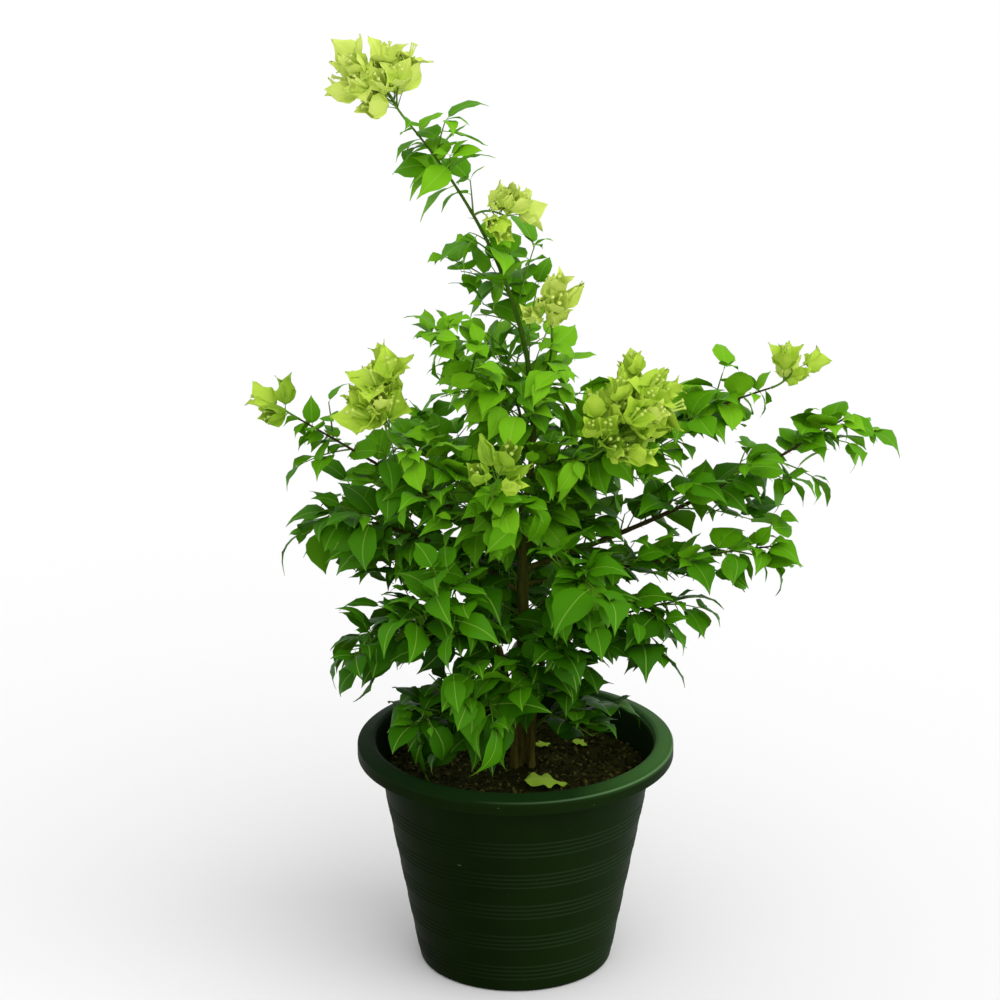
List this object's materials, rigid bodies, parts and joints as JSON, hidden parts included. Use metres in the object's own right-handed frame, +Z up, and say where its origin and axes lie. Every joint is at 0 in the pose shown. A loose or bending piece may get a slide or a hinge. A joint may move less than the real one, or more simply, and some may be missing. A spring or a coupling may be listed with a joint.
{
  "type": "potted bougainvillea bush",
  "caption": "A young bougainvillea bush with a leaning leader, arching side branches, pointed leaves and papery yellow-green bracts, growing in a tapered round nursery pot.",
  "frame": {"origin": "the middle of the pot's flat underside", "axes": "+Z up along the pot's axis, +X to the viewer's right when the leader leans left, +Y away from the viewer"},
  "size_m": [0.617, 0.3779, 0.9025],
  "materials": {
    "pot": "thin moulded dark green plastic, satin, with a lighter scuffed lip",
    "soil": "granular dark brown potting mix with pale fibres, matte",
    "bark": "fine ridged young bark, brown at the foot and greener higher up",
    "foliage": "smooth living leaves, deep to yellowish green, slightly glossy, with lighter midribs",
    "bracts": "papery yellow-green bracts, matte and thin, with fine veins"
  },
  "bodies": {
    "root": {"back_high": "bark", "back_left": "bark", "back_low": "bark", "back_right": "bark", "bloom_far_left": "bracts", "bloom_far_right": "bracts", "bloom_front": "bracts", "bloom_leader_low": "bracts", "bloom_leader_mid": "bracts", "bloom_left": "bracts", "bloom_right": "bracts", "bloom_top": "bracts", "crown_left": "bark", "crown_right": "bark", "fallen_bract_front": "bracts", "fallen_bract_middle": "bracts", "fallen_bract_right": "bracts", "far_left": "bark", "foliage_back_high": "foliage", "foliage_back_left": "foliage", "foliage_back_low": "foliage", "foliage_back_right": "foliage", "foliage_crown_left": "foliage", "foliage_crown_right": "foliage", "foliage_far_left": "foliage", "foliage_front_high": "foliage", "foliage_front_left": "foliage", "foliage_front_low": "foliage", "foliage_front_right": "foliage", "foliage_high_left": "foliage", "foliage_high_long_right": "foliage", "foliage_high_right": "foliage", "foliage_leader": "foliage", "foliage_long_right": "foliage", "foliage_low_left": "foliage", "foliage_low_right": "foliage", "foliage_mid_left": "foliage", "foliage_mid_right": "foliage", "foliage_rim_left": "foliage", "foliage_rim_right": "foliage", "front_high": "bark", "front_left": "bark", "front_low": "bark", "front_right": "bark", "high_left": "bark", "high_long_right": "bark", "high_right": "bark", "leader": "bark", "long_right": "bark", "low_left": "bark", "low_right": "bark", "mid_left": "bark", "mid_right": "bark", "pot": "pot", "rim_left": "bark", "rim_right": "bark", "soil": "soil", "stem_left": "bark", "stem_right": "bark", "trunk": "bark"}
  },
  "joints": []
}
